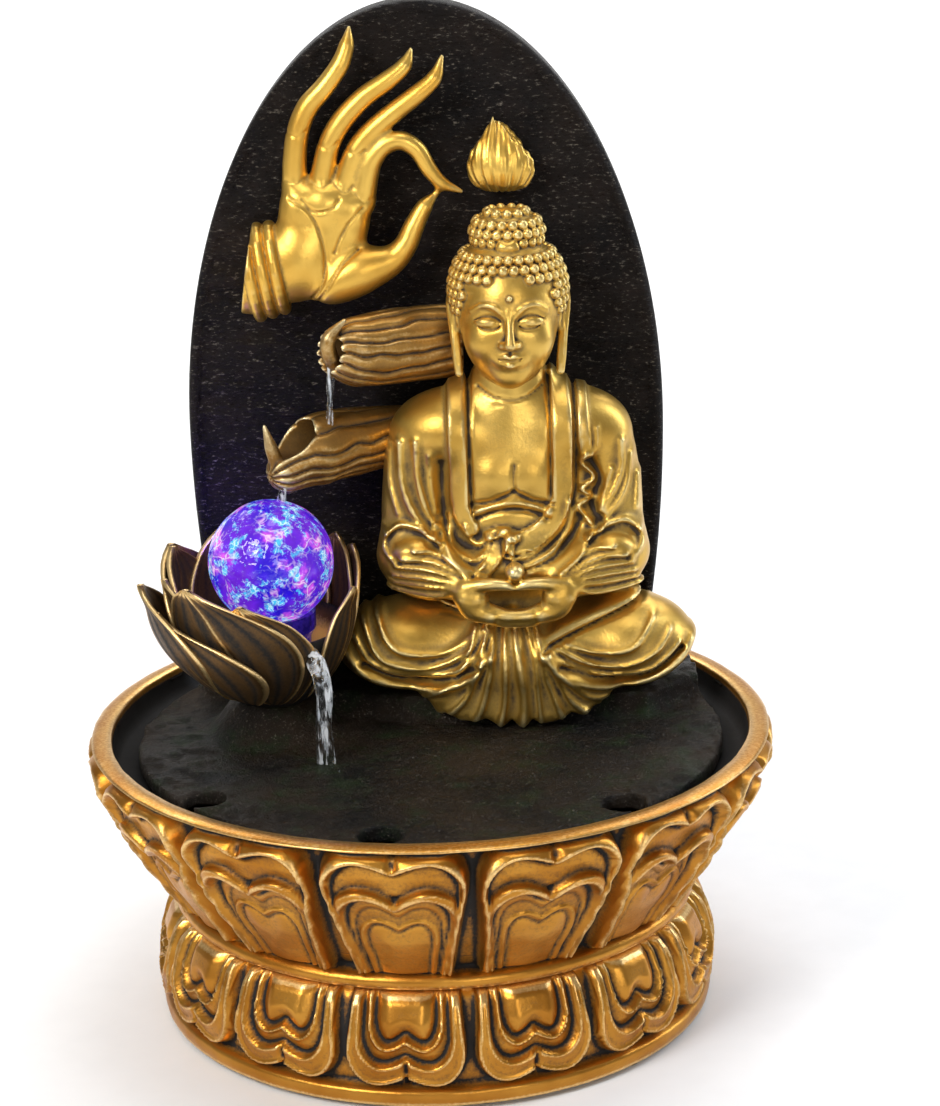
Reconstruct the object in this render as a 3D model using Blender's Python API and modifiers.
"""Tabletop water fountain: a lotus basin with a pump inside, and a lift-off top that carries a rock deck, a back
panel, a seated figure, two spouts and a lotus with a floating light ball.

Frame: +X right, +Y back, +Z up, the figure faces -Y, origin on the table under the basin's centre. Metres.
"""

import math

import bmesh
import bpy
from mathutils import Matrix, Vector

MM = 0.001
GAP = 0.3  # between neighbours, and every size below, in millimetres

# Basin
PETALS = 14
PETAL_TURN = math.radians(-5.8)  # the petal nearest the front, measured from -Y towards +X
BASIN_STEPS = 4 * PETALS
RIM_Z, RIM_IN_R = 118.0, 128.6
LEDGE_Z, LEDGE_R = 105.4, 112.0
FLOOR_Z, FLOOR_R = 54.0, 95.0
WAIST_Z, BEAD_R = 46.3, 102.3
FOOT_R, FOOT_Z = 112.0, 2.3
PAD_R, PAD_PLACE_R = 6.0, 104.0
GROMMET_Z = 84.0

# Deck, ledge and panel
DECK_R, DECK_BOTTOM, DECK_TOP = 118.5, 106.0, 112.0
BITE_R, BITE_PLACE_R = 8.5, 109.0
BITE_ANGLES = (-52.0, -9.5, 42.0)  # from the front, towards +X
STAND_Z = DECK_TOP + GAP
LEDGE_TOP = 122.0
PANEL_X, PANEL_HALF_W = 1.0, 98.5
PANEL_WIDEST_Z, PANEL_TOP_Z, PANEL_LOWER_SEMI = 225.0, 400.0, 244.0
PANEL_FRONT, PANEL_BACK = 59.0, 77.0
RELIEF_BACK = PANEL_FRONT - GAP

# Figure and lotus
FIGURE_X = 35.5
LOTUS_X, LOTUS_Y = -62.5, 9.0
BALL_R, BALL_Z = 25.3, 183.5
DUCT_R = 9.5  # the way through deck, rock and lotus for the hose and the LED lead
LEAD_OFFSET, LEAD_R = 6.8, 1.25

# Pump and hoses
PUMP_Y, PUMP_Z, PUMP_HALF = 70.0, 72.3, 14.0
OUTLET_X = 5.0
HOSE_R, HOSE_WALL = 4.5, 1.4
BRANCH_R, BRANCH_WALL = 4.0, 1.0
TEE_Z = 99.5
NOZZLE_Z = 258.0
COVER_HALF_W, COVER_LOW, COVER_HIGH, COVER_T = 14.0, 118.0, 274.0, 2.0
SCREW_X, SCREW_INSET = 11.0, 5.0

X_AXIS, Y_AXIS, Z_AXIS = Vector((1, 0, 0)), Vector((0, 1, 0)), Vector((0, 0, 1))


# ---------------------------------------------------------------- scene and materials

for old in list(bpy.data.objects):
    bpy.data.objects.remove(old, do_unlink=True)
PARTS = bpy.data.collections.new("tabletop_fountain")
CUTTERS = bpy.data.collections.new("cutters")
bpy.context.scene.collection.children.link(PARTS)
bpy.context.scene.collection.children.link(CUTTERS)


def material(name, colour, roughness, metallic=0.0, alpha=1.0):
    made = bpy.data.materials.new(name)
    made.use_nodes = True
    shader = made.node_tree.nodes["Principled BSDF"]
    shader.inputs["Base Color"].default_value = (*colour, 1.0)
    shader.inputs["Roughness"].default_value = roughness
    shader.inputs["Metallic"].default_value = metallic
    shader.inputs["Alpha"].default_value = alpha
    return made


BASIN_GOLD = material("basin_gold", (0.50, 0.30, 0.09), 0.38, 0.8)
FIGURE_GOLD = material("figure_gold", (0.72, 0.54, 0.20), 0.32, 0.85)
BRONZE = material("lotus_bronze", (0.22, 0.14, 0.06), 0.4, 0.7)
ROCK = material("black_rock", (0.02, 0.018, 0.015), 0.35)
CRACKLE = material("crackle_glass", (0.35, 0.2, 0.95), 0.1, 0.0, 0.6)
PUMP_PLASTIC = material("pump_plastic", (0.03, 0.03, 0.035), 0.45)
CLEAR_PLASTIC = material("clear_plastic", (0.85, 0.9, 0.92), 0.1, 0.0, 0.4)
SOFT_RUBBER = material("soft_rubber", (0.03, 0.03, 0.03), 0.7)
MAGNET = material("magnet", (0.12, 0.12, 0.13), 0.5, 0.6)
SHAFT_CERAMIC = material("shaft_ceramic", (0.85, 0.84, 0.8), 0.3)
BOARD_GREEN = material("circuit_board", (0.02, 0.18, 0.06), 0.5)
STEEL = material("screw_steel", (0.6, 0.6, 0.6), 0.3, 1.0)


# ---------------------------------------------------------------- shape helpers (millimetres in, metres out)


def adopt(name, mesh, finish, collection=PARTS):
    """A mesh in the scene under this name; its scale is already metres."""
    made = bpy.data.objects.new(name, mesh)
    mesh.name = name
    if finish:
        mesh.materials.append(finish)
    else:
        made.hide_render = True
        made.display_type = "WIRE"
    mesh.shade_smooth()
    mesh.set_sharp_from_angle(angle=math.radians(35))
    collection.objects.link(made)
    return made


def from_bmesh(name, shape, finish):
    mesh = bpy.data.meshes.new(name)
    bmesh.ops.scale(shape, vec=(MM, MM, MM), verts=shape.verts)
    shape.to_mesh(mesh)
    shape.free()
    return adopt(name, mesh, finish, PARTS if finish else CUTTERS)


def box(name, low, high, finish=None, round_edges=0.0):
    shape = bmesh.new()
    bmesh.ops.create_cube(shape, size=1.0)
    low, high = Vector(low), Vector(high)
    bmesh.ops.scale(shape, vec=high - low, verts=shape.verts)
    bmesh.ops.translate(shape, vec=(low + high) / 2, verts=shape.verts)
    if round_edges:
        bmesh.ops.bevel(shape, geom=shape.edges[:], offset=round_edges, segments=2, profile=0.5, affect="EDGES")
    return from_bmesh(name, shape, finish)


def rod(name, start, end, radius, finish=None, end_radius=None, sides=24):
    """A cylinder, or a cone where end_radius is given, between two points."""
    start, end = Vector(start), Vector(end)
    shape = bmesh.new()
    bmesh.ops.create_cone(shape, cap_ends=True, segments=sides, radius1=radius,
                          radius2=radius if end_radius is None else end_radius, depth=(end - start).length)
    turn = Z_AXIS.rotation_difference(end - start).to_matrix().to_4x4()
    bmesh.ops.transform(shape, matrix=Matrix.Translation((start + end) / 2) @ turn, verts=shape.verts)
    return from_bmesh(name, shape, finish)


def add_ball(shape, centre, radii, lean=(0, 0, 0)):
    """Adds an ellipsoid to a bmesh, leaned by angles in degrees about X, Y and Z."""
    made = bmesh.ops.create_uvsphere(shape, u_segments=16, v_segments=10, radius=1.0)["verts"]
    turn = Matrix.Identity(4)
    for angle, axis in zip(lean, "XYZ"):
        turn = Matrix.Rotation(math.radians(angle), 4, axis) @ turn
    size = Matrix.Diagonal((*radii, 1.0))
    bmesh.ops.transform(shape, matrix=Matrix.Translation(centre) @ turn @ size, verts=made)


def add_limb(shape, points, radii):
    """Adds a chain of tapering links with a ball at each point."""
    for point, radius in zip(points, radii):
        add_ball(shape, point, (radius, radius, radius))
    for a, b, ra, rb in zip(points, points[1:], radii, radii[1:]):
        a, b = Vector(a), Vector(b)
        made = bmesh.ops.create_cone(shape, cap_ends=True, segments=14, radius1=ra, radius2=rb,
                                     depth=(b - a).length)["verts"]
        turn = Z_AXIS.rotation_difference(b - a).to_matrix().to_4x4()
        bmesh.ops.transform(shape, matrix=Matrix.Translation((a + b) / 2) @ turn, verts=made)


def turned(name, profile, finish=None, steps=32, place=(0, 0, 0), aim=Z_AXIS):
    """A closed profile of (radius, height) points, turned about a line through place along aim.

    The profile is an outline in either order. Where it starts and ends on the axis it is left open there, and
    elsewhere it closes on itself. A Screw needs it to run down its outer side, so one that runs up is turned round.
    """
    area = sum(a[0] * b[1] - b[0] * a[1] for a, b in zip(profile, profile[1:] + profile[:1]))
    if area > 0:
        profile = profile[::-1]
    shape = bmesh.new()
    points = [shape.verts.new((radius, 0, height)) for radius, height in profile]
    on_axis = profile[0][0] == 0 and profile[-1][0] == 0
    ends = points if on_axis else points + points[:1]
    for a, b in zip(ends, ends[1:]):
        shape.edges.new((a, b))
    made = from_bmesh(name, shape, finish)
    screw = made.modifiers.new("turn", "SCREW")
    screw.steps = screw.render_steps = steps
    screw.use_merge_vertices = True
    screw.merge_threshold = 0.00001
    bake(made)
    turn = Z_AXIS.rotation_difference(Vector(aim)).to_matrix().to_4x4()
    made.data.transform(Matrix.Translation(Vector(place) * MM) @ turn)
    made.data.shade_smooth()
    made.data.set_sharp_from_angle(angle=math.radians(35))
    return made


def bake(made):
    """Replaces an object's mesh by the one that its modifiers give."""
    graph = bpy.context.evaluated_depsgraph_get()
    graph.update()
    mesh = bpy.data.meshes.new_from_object(made.evaluated_get(graph))
    made.modifiers.clear()
    made.data = mesh
    mesh.name = made.name


def combine(made, operation, others):
    """Cuts or joins other objects into one with exact Booleans, and drops what was used."""
    for other in others:
        modifier = made.modifiers.new(other.name, "BOOLEAN")
        modifier.operation = operation
        modifier.object = other
        modifier.solver = "EXACT"
    bake(made)
    for other in others:
        bpy.data.objects.remove(other, do_unlink=True)
    made.data.shade_smooth()
    made.data.set_sharp_from_angle(angle=math.radians(35))
    return made


def cut(made, *cutters):
    return combine(made, "DIFFERENCE", cutters)


def join(made, *others):
    return combine(made, "UNION", others)


def one_skin(name, shape, finish, voxel, triangles):
    """Turns overlapping shapes into one closed skin, thinned to about this many triangles."""
    made = from_bmesh(name, shape, finish)
    remesh = made.modifiers.new("skin", "REMESH")
    remesh.mode = "VOXEL"
    remesh.voxel_size = voxel * MM
    bake(made)
    thin = made.modifiers.new("thin", "DECIMATE")
    thin.ratio = triangles / (2 * len(made.data.polygons))
    bake(made)
    return made


def smooth_route(points, steps):
    """Points along a Catmull-Rom curve through the given ones, steps to a span."""
    points = [Vector(p) for p in points]
    points = [2 * points[0] - points[1], *points, 2 * points[-1] - points[-2]]
    route = []
    for a, b, c, d in zip(points, points[1:], points[2:], points[3:]):
        for step in range(steps):
            t = step / steps
            route.append(0.5 * (2 * b + (c - a) * t + (2 * a - 5 * b + 4 * c - d) * t**2
                                + (3 * b - a - 3 * c + d) * t**3))
    return [*route, points[-2]]


def tube(name, route, radius, finish, wall=0.0):
    """A round tube along a route: solid, or with this wall."""
    data = bpy.data.curves.new(name, "CURVE")
    data.dimensions = "3D"
    line = data.splines.new("POLY")
    line.points.add(len(route) - 1)
    for point, place in zip(line.points, route):
        point.co = (*(Vector(place) * MM), 1.0)
    data.bevel_depth = radius * MM
    data.bevel_resolution = 2
    data.use_fill_caps = not wall
    data.materials.append(finish)
    made = bpy.data.objects.new(name, data)
    PARTS.objects.link(made)
    if not wall:
        return made
    graph = bpy.context.evaluated_depsgraph_get()
    mesh = bpy.data.meshes.new_from_object(made.evaluated_get(graph))
    bpy.data.objects.remove(made, do_unlink=True)
    shape = bmesh.new()
    shape.from_mesh(mesh)
    bmesh.ops.remove_doubles(shape, verts=shape.verts, dist=0.00001)
    bmesh.ops.recalc_face_normals(shape, faces=shape.faces)
    shape.to_mesh(mesh)
    shape.free()
    made = bpy.data.objects.new(name, mesh)
    PARTS.objects.link(made)
    shell = made.modifiers.new("wall", "SOLIDIFY")
    shell.thickness = wall * MM
    shell.offset = -1
    return made


def from_front(angle, radius, height):
    """A point at this angle in degrees from -Y, positive towards +X."""
    turn = math.radians(angle)
    return Vector((radius * math.sin(turn), -radius * math.cos(turn), height))


# ---------------------------------------------------------------- basin


def push_petals(made, low, high, depth, in_r):
    """Sinks the grooves between petals into the skin between two heights, outside radius in_r."""
    for vertex in made.data.vertices:
        x, y, z = vertex.co / MM
        radius = math.hypot(x, y)
        if not (low < z < high and radius > in_r):
            continue
        across = (math.atan2(x, -y) - PETAL_TURN) * PETALS / (2 * math.pi) % 1.0
        groove = abs(2 * across - 1)  # 1 on a petal's middle, 0 in the groove
        swell = math.sin(math.pi * (z - low) / (high - low)) ** 0.5
        sink = 1 - depth * swell * (1 - groove) ** 1.5 / radius
        vertex.co.x *= sink
        vertex.co.y *= sink


def make_basin():
    profile = [
        (RIM_IN_R, RIM_Z), (132.0, RIM_Z), (137.4, 109.5), (137.4, 100.0), (128.0, 86.0), (119.0, 71.0),
        (111.0, 58.5), (108.0, 54.0), (BEAD_R, 50.5), (BEAD_R, WAIST_Z), (0.0, WAIST_Z),
    ]
    inner = [
        (0.0, FLOOR_Z), (FLOOR_R, FLOOR_Z), (103.0, 60.0), (117.0, 88.0), (117.0, 95.0), (LEDGE_R, 99.5),
        (LEDGE_R, LEDGE_Z), (126.0, LEDGE_Z), (RIM_IN_R, 110.0),
    ]
    # The inner side runs from the axis outwards and up, so the loop starts and ends on the axis.
    loop = inner + profile
    to_petal = Matrix.Rotation(PETAL_TURN - math.pi / 2, 4, "Z")
    bowl = turned("basin_bowl", loop, BASIN_GOLD, BASIN_STEPS)
    bowl.data.transform(to_petal)
    push_petals(bowl, 51.5, 116.0, 7.0, 106.0)
    cut(bowl, rod("cable_hole", (0, 105, GROMMET_Z), (0, 145, GROMMET_Z), 5.5))

    pedestal = turned("pedestal", [
        (98.0, WAIST_Z - GAP), (109.0, 42.8), (112.3, 35.0), (113.8, 24.0), (113.0, 14.0), (114.0, 10.5),
        (114.0, 5.0), (FOOT_R, FOOT_Z), (96.0, FOOT_Z), (96.0, 6.0), (107.0, 8.0), (106.0, 34.0), (80.0, 42.0),
        (80.0, WAIST_Z - GAP),
    ], BASIN_GOLD, BASIN_STEPS)
    pedestal.data.transform(to_petal)
    push_petals(pedestal, 12.0, 45.5, 5.0, 108.0)

    for number, angle in enumerate((45, 135, 225, 315), 1):
        place = from_front(angle, PAD_PLACE_R, 0)
        rod(f"foot_pad_{number}", place, place + Z_AXIS * (FOOT_Z - GAP), PAD_R, SOFT_RUBBER, sides=20)

    turned("cable_grommet", [(5.2, 27.0), (7.2, 27.0), (7.2, 24.8), (5.2, 24.8), (5.2, 0.0), (3.4, 0.0),
                             (3.4, 27.0)], SOFT_RUBBER, 20, place=(0, 107.8, GROMMET_Z), aim=Y_AXIS)


# ---------------------------------------------------------------- pump, standing in the basin


def make_pump():
    y, z, half = PUMP_Y, PUMP_Z, PUMP_HALF
    base = z - half
    housing = box("pump_housing", (-34, y - half, base), (10.5, y + half, z + half), PUMP_PLASTIC, 1.5)
    join(housing, rod("spigot", (OUTLET_X, y, z + half - 2), (OUTLET_X, y, 94), 5.0))
    cut(housing,
        rod("chamber", (-0.5, y, z), (14, y, z), 11.5),
        rod("rotor_well", (-30, y, z), (2, y, z), 8.6),
        rod("outlet_bore", (OUTLET_X, y, z + 6), (OUTLET_X, y, 99), 3.2))
    turned("pump_gland", [(4.5, 0), (3.2, 8), (1.8, 8), (1.8, 0)], SOFT_RUBBER, 16,
           place=(-34 - GAP, y, z + 4), aim=-X_AXIS)
    for number, (dx, dy) in enumerate(((-28, -9), (-28, 9), (4, -9), (4, 9)), 1):
        turned(f"suction_cup_{number}", [(0, base - GAP), (2.0, base - GAP), (2.2, base - 2.2),
                                         (5.0, FLOOR_Z + GAP), (0, FLOOR_Z + GAP)], SOFT_RUBBER, 16,
               place=(dx, y + dy, 0))

    rod("impeller_shaft", (-29, y, z), (14.5, y, z), 1.2, SHAFT_CERAMIC, sides=16)
    turned("shaft_bush_rear", [(4.0, 0), (4.0, 2.4), (1.5, 2.4), (1.5, 0)], SOFT_RUBBER, 16,
           place=(-29.7, y, z), aim=X_AXIS)
    turned("rotor_magnet", [(7.5, 0), (7.5, 24), (1.5, 24), (1.5, 0)], MAGNET, 24,
           place=(-26.5, y, z), aim=X_AXIS)
    blades = turned("impeller_blades", [(4.2, 0), (4.2, 8), (1.5, 8), (1.5, 0)], PUMP_PLASTIC, 24,
                    place=(0, y, z), aim=X_AXIS)
    vanes = []
    for number in range(6):
        vane = box(f"vane_{number}", (0.6, -0.7, 3.2), (7.4, 0.7, 10.5))
        vane.data.transform(Matrix.Translation((0, y * MM, z * MM)) @ Matrix.Rotation(number * math.pi / 3, 4, "X"))
        vanes.append(vane)
    join(blades, *vanes)

    volute = turned("volute_cover", [(13.2, 0), (13.2, 2.2), (2.7, 2.2), (2.7, 0)], PUMP_PLASTIC, 32,
                    place=(10.5 + GAP, y, z), aim=X_AXIS)
    holes = []
    for number in range(4):
        angle = math.radians(45 + 90 * number)
        hole_y, hole_z = y + 6.2 * math.cos(angle), z + 6.2 * math.sin(angle)
        holes.append(rod(f"intake_{number}", (8, hole_y, hole_z), (16, hole_y, hole_z), 2.2, sides=12))
    cut(volute, *holes)
    turned("shaft_bush_front", [(2.4, 0), (2.4, 2.2), (1.5, 2.2), (1.5, 0)], SOFT_RUBBER, 16,
           place=(10.5 + GAP, y, z), aim=X_AXIS)

    cover = box("pump_front_cover", (13.4, y - half, base + 0.7), (30, y + half, z + half), PUMP_PLASTIC, 1.5)
    slots = [box(f"slot_{n}", (27, y - 9.2 + 4.4 * n, base + 4), (33, y - 6.8 + 4.4 * n, z + 2)) for n in range(5)]
    cut(cover, box("cover_hollow", (10, y - half + 2, base + 2.7), (28, y + half - 2, z + half - 2)),
        rod("dial_hole", (26, y, z + 8), (33, y, z + 8), 2.1), *slots)
    dial = rod("flow_dial", (30 + GAP, y, z + 8), (32.3, y, z + 8), 4.6, PUMP_PLASTIC)
    join(dial, rod("dial_stem", (26.5, y, z + 8), (31, y, z + 8), 1.7, sides=16),
         box("dial_grip", (31.5, y - 4, z + 7.2), (34, y + 4, z + 8.8)))


# ---------------------------------------------------------------- deck, ledge and back panel


def outline_solid(name, outline, low, high, finish, upright=False):
    """A flat outline of (x, y) points extruded from low to high; upright outlines stand in the XZ plane."""
    data = bpy.data.curves.new(name, "CURVE")
    data.dimensions = "2D"
    data.fill_mode = "BOTH"
    data.extrude = (high - low) / 2 * MM
    line = data.splines.new("POLY")
    line.points.add(len(outline) - 1)
    for point, (a, b) in zip(line.points, outline):
        point.co = (a * MM, b * MM, 0, 1)
    line.use_cyclic_u = True
    guide = bpy.data.objects.new(name + "_outline", data)
    PARTS.objects.link(guide)
    graph = bpy.context.evaluated_depsgraph_get()
    mesh = bpy.data.meshes.new_from_object(guide.evaluated_get(graph))
    bpy.data.objects.remove(guide, do_unlink=True)
    place = Matrix.Translation((0, 0, (low + high) / 2 * MM))
    if upright:
        place = Matrix.Rotation(math.pi / 2, 4, "X") @ Matrix.Translation((0, 0, -(low + high) / 2 * MM))
    mesh.transform(place)
    shape = bmesh.new()
    shape.from_mesh(mesh)
    bmesh.ops.remove_doubles(shape, verts=shape.verts, dist=0.00001)
    bmesh.ops.recalc_face_normals(shape, faces=shape.faces)
    shape.to_mesh(mesh)
    shape.free()
    return adopt(name, mesh, finish)


def make_deck():
    deck = rod("deck_plate", (0, 0, DECK_BOTTOM), (0, 0, DECK_TOP), DECK_R, ROCK, sides=60)
    bites = []
    for number, angle in enumerate(BITE_ANGLES):
        place = from_front(angle, BITE_PLACE_R, 0)
        bites.append(rod(f"bite_{number}", (*place.xy, 100), (*place.xy, 118), BITE_R, sides=16))
        outer = from_front(angle, BITE_PLACE_R + 8, 0)
        mouth = box(f"mouth_{number}", (-0.8 * BITE_R, -10, 100), (0.8 * BITE_R, 10, 118))
        mouth.data.transform(Matrix.Translation((*(outer.xy * MM), 0))
                             @ Matrix.Rotation(math.radians(angle), 4, "Z"))
        bites.append(mouth)
    cut(deck, rod("hose_hole", (OUTLET_X, PUMP_Y, 100), (OUTLET_X, PUMP_Y, 118), 6.5),
        rod("lotus_hole", (LOTUS_X, LOTUS_Y, 100), (LOTUS_X, LOTUS_Y, 118), DUCT_R), *bites)

    ledge = outline_solid("rock_ledge", [
        (-94, RELIEF_BACK), (-96, 47), (-80, 37), (-42, 23), (-4.5, 12), (40, 9.5), (90, 13.5), (110, 30),
        (104, 48), (97, RELIEF_BACK),
    ], STAND_Z, LEDGE_TOP, ROCK)
    join(ledge, rod("stub", (LOTUS_X, LOTUS_Y, STAND_Z), (LOTUS_X, LOTUS_Y, 127), 25, end_radius=17))
    cut(ledge, rod("stub_bore", (LOTUS_X, LOTUS_Y, 108), (LOTUS_X, LOTUS_Y, 132), DUCT_R))


def panel_outline():
    """Egg outline: a blunt arch above the widest line, a long taper below it, cut flat at the deck."""
    foot = math.acos((STAND_Z - PANEL_WIDEST_Z) / PANEL_LOWER_SEMI)
    points = []
    for step in range(37):
        turn = -foot + 2 * foot * step / 36  # from the top
        side, up = math.sin(turn), math.cos(turn)
        if up > 0:
            scale = (abs(side) ** 2.15 + up ** 2.15) ** (-1 / 2.15)
            points.append((PANEL_X + PANEL_HALF_W * side * scale,
                           PANEL_WIDEST_Z + (PANEL_TOP_Z - PANEL_WIDEST_Z) * up * scale))
        else:
            points.append((PANEL_X + PANEL_HALF_W * side, PANEL_WIDEST_Z + PANEL_LOWER_SEMI * up))
    return points


def screw_places():
    for dx in (-SCREW_X, SCREW_X):
        for z in (COVER_LOW + SCREW_INSET, COVER_HIGH - SCREW_INSET):
            yield OUTLET_X + dx, z


def make_panel():
    panel = outline_solid("back_panel", panel_outline(), PANEL_FRONT, PANEL_BACK, ROCK, upright=True)
    holes = [rod(f"screw_hole_{n}", (x, PANEL_BACK - 9, z), (x, PANEL_BACK + 4, z), 1.6, sides=12)
             for n, (x, z) in enumerate(screw_places())]
    cut(panel, box("channel", (OUTLET_X - 7, 64, 100), (OUTLET_X + 7, 90, NOZZLE_Z + 9)),
        rod("nozzle_hole", (OUTLET_X, 50, NOZZLE_Z), (OUTLET_X, 70, NOZZLE_Z), 4.6), *holes)

    cover = box("rear_cover", (OUTLET_X - COVER_HALF_W, PANEL_BACK + GAP, COVER_LOW),
                (OUTLET_X + COVER_HALF_W, PANEL_BACK + GAP + COVER_T, COVER_HIGH), PUMP_PLASTIC)
    cut(cover, *[rod(f"cover_hole_{n}", (x, PANEL_BACK - 2, z), (x, PANEL_BACK + 6, z), 1.6, sides=12)
                 for n, (x, z) in enumerate(screw_places())])
    for number, (x, z) in enumerate(screw_places(), 1):
        head = PANEL_BACK + 2 * GAP + COVER_T
        turned(f"cover_screw_{number}", [(0, 1.8), (1.5, 1.8), (2.8, 0.9), (2.8, 0), (1.25, 0), (1.25, -9.5),
                                         (0, -9.5)], STEEL, 12, place=(x, head, z), aim=Y_AXIS)


# ---------------------------------------------------------------- figure, hand and bud


def mirrored(x):
    return 2 * FIGURE_X - x


def make_figure():
    shape = bmesh.new()
    mid = FIGURE_X
    for side in (lambda x: x, mirrored):
        add_ball(shape, (side(-10), 31, 139), (28.5, 25, 17))  # knee
        add_limb(shape, [(side(-6), 30, 137), (side(30), 14, 136)], (16, 15))  # shin
        add_limb(shape, [(side(1), 35, 226), (side(-2), 34, 194), (side(2), 26, 178)], (15, 15, 14))  # upper arm
        add_limb(shape, [(side(-6), 26, 177), (side(26), 8, 168)], (15, 9))  # forearm in its sleeve
        add_ball(shape, (side(12), 34, 232), (22, 19, 17))  # shoulder
    add_ball(shape, (mid, 34, 142), (62, 26, 20))  # lap
    add_ball(shape, (mid, 10, 126), (38, 11, 13))  # hem
    add_ball(shape, (mid, 36, 200), (38, 24, 58))  # trunk
    add_ball(shape, (mid, 4, 167), (22, 8, 8))  # hands
    add_limb(shape, [(mid, 34, 240), (mid, 31, 262)], (16, 14))  # neck
    add_ball(shape, (mid, 27, 280), (21, 23, 28))  # head
    add_ball(shape, (mid, 30, 290), (24, 24, 20))  # hair
    add_ball(shape, (mid, 31, 310), (14.5, 14, 10))  # crown
    figure = one_skin("seated_figure", shape, FIGURE_GOLD, 3.0, 1500)
    cut(figure, box("panel_side", (-80, RELIEF_BACK, 90), (160, 120, 400)),
        box("ledge_side", (-80, 9, 90), (160, 70, LEDGE_TOP + GAP)),
        box("deck_side", (-80, -60, 90), (160, 70, STAND_Z + GAP)))


def make_hand():
    shape = bmesh.new()
    add_limb(shape, [(-67, 50, 296), (-52, 48, 300)], (17, 17))  # wrist with its bracelets
    add_limb(shape, [(-50, 48, 304), (-38, 48, 324)], (17, 17))  # palm
    add_limb(shape, [(-40, 47, 302), (-22, 46, 294), (-9, 46, 300), (2, 46, 313), (7, 47, 324)],
             (16, 10, 7, 6, 4))  # thumb
    add_limb(shape, [(-24, 47, 326), (-15, 46, 342), (0, 45, 344), (9, 46, 336), (17, 47, 328)],
             (10, 7, 6, 5.5, 4))  # index finger
    for knuckle, middle, tip in (((-49, 330), (-46, 352), (-25, 389)), ((-38, 334), (-30, 357), (-2, 380)),
                                 ((-30, 331), (-20, 352), (10, 378))):
        add_limb(shape, [(knuckle[0], 48, knuckle[1]), (middle[0], 47, middle[1]), (tip[0], 48, tip[1])],
                 (9, 7.5, 3.5))
    hand = one_skin("mudra_hand", shape, FIGURE_GOLD, 2.2, 800)
    cut(hand, box("panel_side", (-120, RELIEF_BACK, 200), (80, 120, 460)))

    shape = bmesh.new()
    add_ball(shape, (34, 53, 335), (12.8, 9, 11))
    add_limb(shape, [(33, 52, 339), (30, 51, 352)], (8.5, 1.5))
    bud = one_skin("lotus_bud", shape, FIGURE_GOLD, 1.6, 240)
    cut(bud, box("panel_side", (-20, RELIEF_BACK, 300), (80, 120, 380)))


# ---------------------------------------------------------------- spouts, lotus and ball


def make_spouts():
    """Two hollow buds that open to the left and slightly forward."""
    root, mouth = Vector((9, 47, 259)), Vector((-35, 27, 265))
    length = (mouth - root).length
    upper = turned("upper_spout", [
        (0, 0), (5, 0.5), (11, 5), (14, 14), (14.5, 28), (13, length), (10.5, length), (11, 20), (8, 9), (0, 6),
    ], BRONZE, 24, place=root, aim=mouth - root)
    cut(upper, rod("feed_hole", (OUTLET_X - 1, 38, NOZZLE_Z), (OUTLET_X - 1, 62, NOZZLE_Z), 5.6))
    root, mouth = Vector((-22, 45.5, 218)), Vector((-59, 19, 226))
    length = (mouth - root).length
    turned("lower_spout", [
        (0, 0), (5, 0.5), (10.5, 6), (13, 16), (12.5, 30), (14.5, length), (12.3, length), (10, 30), (8, 18), (0, 14),
    ], BRONZE, 24, place=root, aim=mouth - root)


def shape_lotus(made):
    """Draws the bowl in on the figure's side, raises petal tips along the rim and sinks the spill notch."""
    notch = math.radians(-58)
    for vertex in made.data.vertices:
        x, y, z = vertex.co / MM
        x, y = x - LOTUS_X, y - LOTUS_Y
        angle, radius = math.atan2(y, x), math.hypot(x, y)
        height = max(0.0, (z - 140) / 43)
        towards_figure = max(0.0, math.cos(angle - math.radians(38))) ** 2
        radius *= 1 - 0.38 * towards_figure * min(1.0, (z - 127) / 20)
        off_notch = (angle - notch + math.pi) % (2 * math.pi) - math.pi
        z += height**3 * (4 * math.cos(8 * angle) - 20 * math.exp(-(off_notch / 0.25) ** 2))
        vertex.co = Vector((LOTUS_X + radius * math.cos(angle), LOTUS_Y + radius * math.sin(angle), z)) * MM


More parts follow.
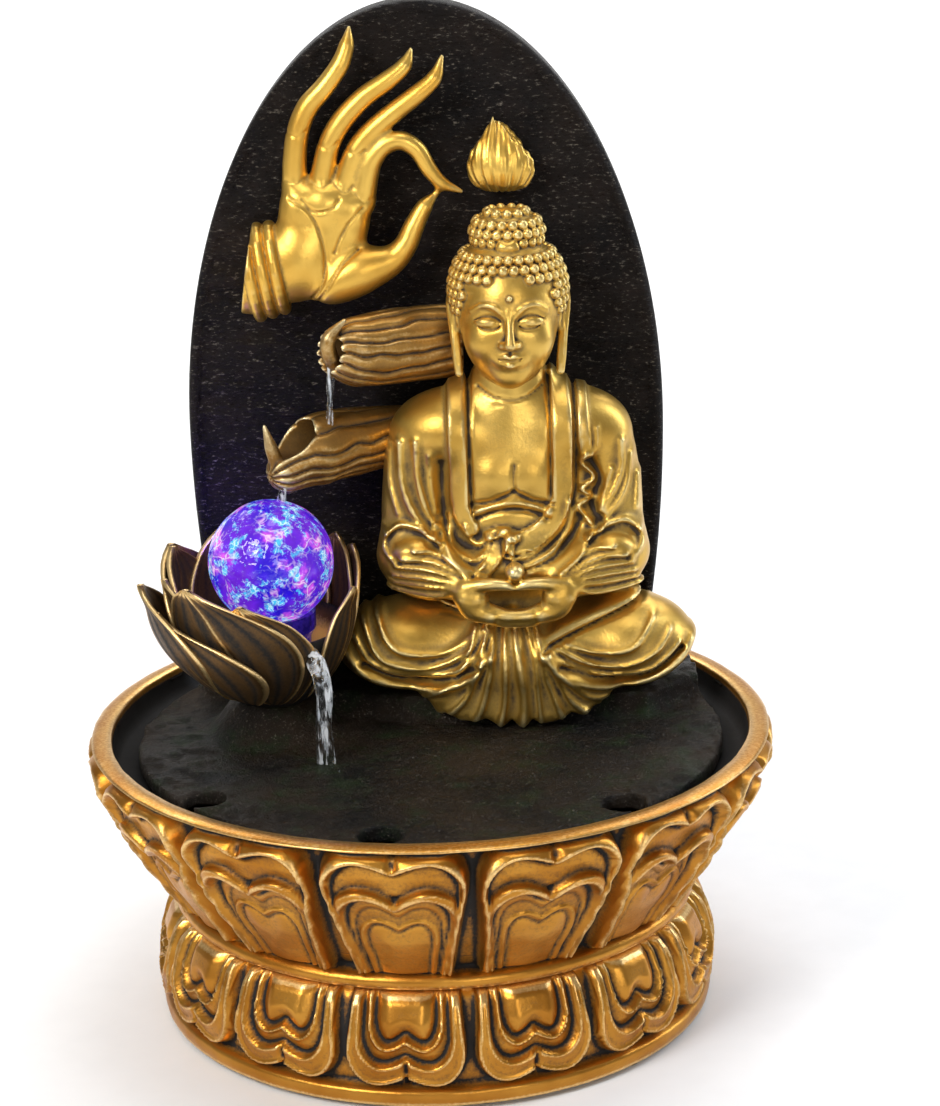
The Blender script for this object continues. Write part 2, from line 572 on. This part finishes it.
def make_lotus():
    lotus = turned("lotus_bowl", [
        (DUCT_R, 127.3), (14, 127.3), (24, 133), (33, 145), (39, 158), (43, 170), (47, 183), (44.5, 183), (40, 170),
        (36, 158), (30, 146), (22, 139.7), (DUCT_R, 139.7),
    ], BRONZE, 40, place=(LOTUS_X, LOTUS_Y, 0))
    shape_lotus(lotus)

    place = (LOTUS_X, LOTUS_Y, 0)
    turned("led_housing", [
        (4.6, 140), (15, 140), (15, 152), (13.6, 152), (13.6, 147), (5.8, 147), (5.8, 152), (4.6, 152),
    ], PUMP_PLASTIC, 24, place=place)
    board = turned("led_board", [(6.1, 147.3), (13.3, 147.3), (13.3, 148.9), (6.1, 148.9)], BOARD_GREEN, 24,
                   place=place)
    lamps = []
    for number in range(4):
        angle = math.radians(90 * number + 20)
        x, y = LOTUS_X + 9.7 * math.cos(angle), LOTUS_Y + 9.7 * math.sin(angle)
        lamps.append(rod(f"lamp_{number}", (x, y, 148), (x, y, 151), 2.2, sides=12))
    join(board, *lamps)
    turned("ball_cup", [
        (3.2, 152.3), (15, 152.3), (17.2, 156), (17.2, 163), (15.6, 163), (12, 158), (3.2, 156),
    ], CLEAR_PLASTIC, 24, place=place)

    shape = bmesh.new()
    made = bmesh.ops.create_uvsphere(shape, u_segments=20, v_segments=12, radius=BALL_R)["verts"]
    bmesh.ops.rotate(shape, cent=(0, 0, 0), matrix=Matrix.Rotation(math.pi / 2, 3, "Y"), verts=made)
    bmesh.ops.translate(shape, vec=(LOTUS_X, LOTUS_Y, BALL_Z), verts=made)
    from_bmesh("crystal_ball", shape, CRACKLE)


# ---------------------------------------------------------------- water way and LED lead


def make_hoses():
    x, y = OUTLET_X, PUMP_Y
    way = Vector((LOTUS_X - x, LOTUS_Y - y, 0)).normalized()
    centre = Vector((x, y, TEE_Z))
    tee = rod("hose_tee", (x, y, 87), (x, y, 103.6), 6.6, CLEAR_PLASTIC)
    join(tee, rod("barb_up", (x, y, 100), (x, y, 112), 2.8, sides=16),
         rod("barb_side", centre, centre + way * 13, 2.4, sides=16))
    cut(tee, rod("socket", (x, y, 80), (x, y, 94.5), 5.3), rod("bore_up", (x, y, 90), (x, y, 116), 1.9, sides=16),
        rod("bore_side", centre, centre + way * 20, 1.6, sides=16))

    low, high = 104.0, NOZZLE_Z - 8
    tube("riser_hose", [(x, y, low + (high - low) * n / 8) for n in range(9)], HOSE_R, CLEAR_PLASTIC, HOSE_WALL)
    nozzle = rod("spout_nozzle", (x, y, NOZZLE_Z - 16), (x, y, NOZZLE_Z + 4.2), 2.8, PUMP_PLASTIC, sides=16)
    join(nozzle, rod("elbow", (x, y, NOZZLE_Z - 7), (x, y, NOZZLE_Z + 4.6), 4.2),
         rod("outlet", (x, y, NOZZLE_Z), (x, 53.5, NOZZLE_Z), 4.2))
    cut(nozzle, rod("rise", (x, y, NOZZLE_Z - 20), (x, y, NOZZLE_Z + 1), 1.9, sides=16),
        rod("run", (x, y, NOZZLE_Z), (x, 50, NOZZLE_Z), 2.4, sides=16))

    tube("branch_hose", smooth_route([
        centre + way * 7.5, centre + way * 12, centre + way * 20, (-26, 42, 96), (-44, 26, 90), (-57, 14, 93), (-62, 9.4, 104),
        (LOTUS_X, LOTUS_Y, 120), (LOTUS_X, LOTUS_Y, 151.7),
    ], 2), BRANCH_R, CLEAR_PLASTIC, BRANCH_WALL)

    lead_x = LOTUS_X + LEAD_OFFSET
    tube("led_lead", smooth_route([
        (lead_x, LOTUS_Y, 139.7), (lead_x, LOTUS_Y, 128), (lead_x, LOTUS_Y + 0.3, 114), (-54.6, 11.5, 103),
        (-51, 24, 101), (-46, 42, 102), (-41, 60, 102), (-38, 72, 101.5), (-37, 80, 101),
    ], 2), LEAD_R, SOFT_RUBBER)
    turned("led_plug", [(0, 0), (2.6, 0), (3.4, 2), (3.4, 11), (2.8, 12), (2.8, 17), (0, 17)], PUMP_PLASTIC, 16,
           place=(-37, 80 + GAP, 101), aim=Y_AXIS)


make_basin()
make_pump()
make_deck()
make_panel()
make_figure()
make_hand()
make_spouts()
make_lotus()
make_hoses()
bpy.data.collections.remove(CUTTERS)
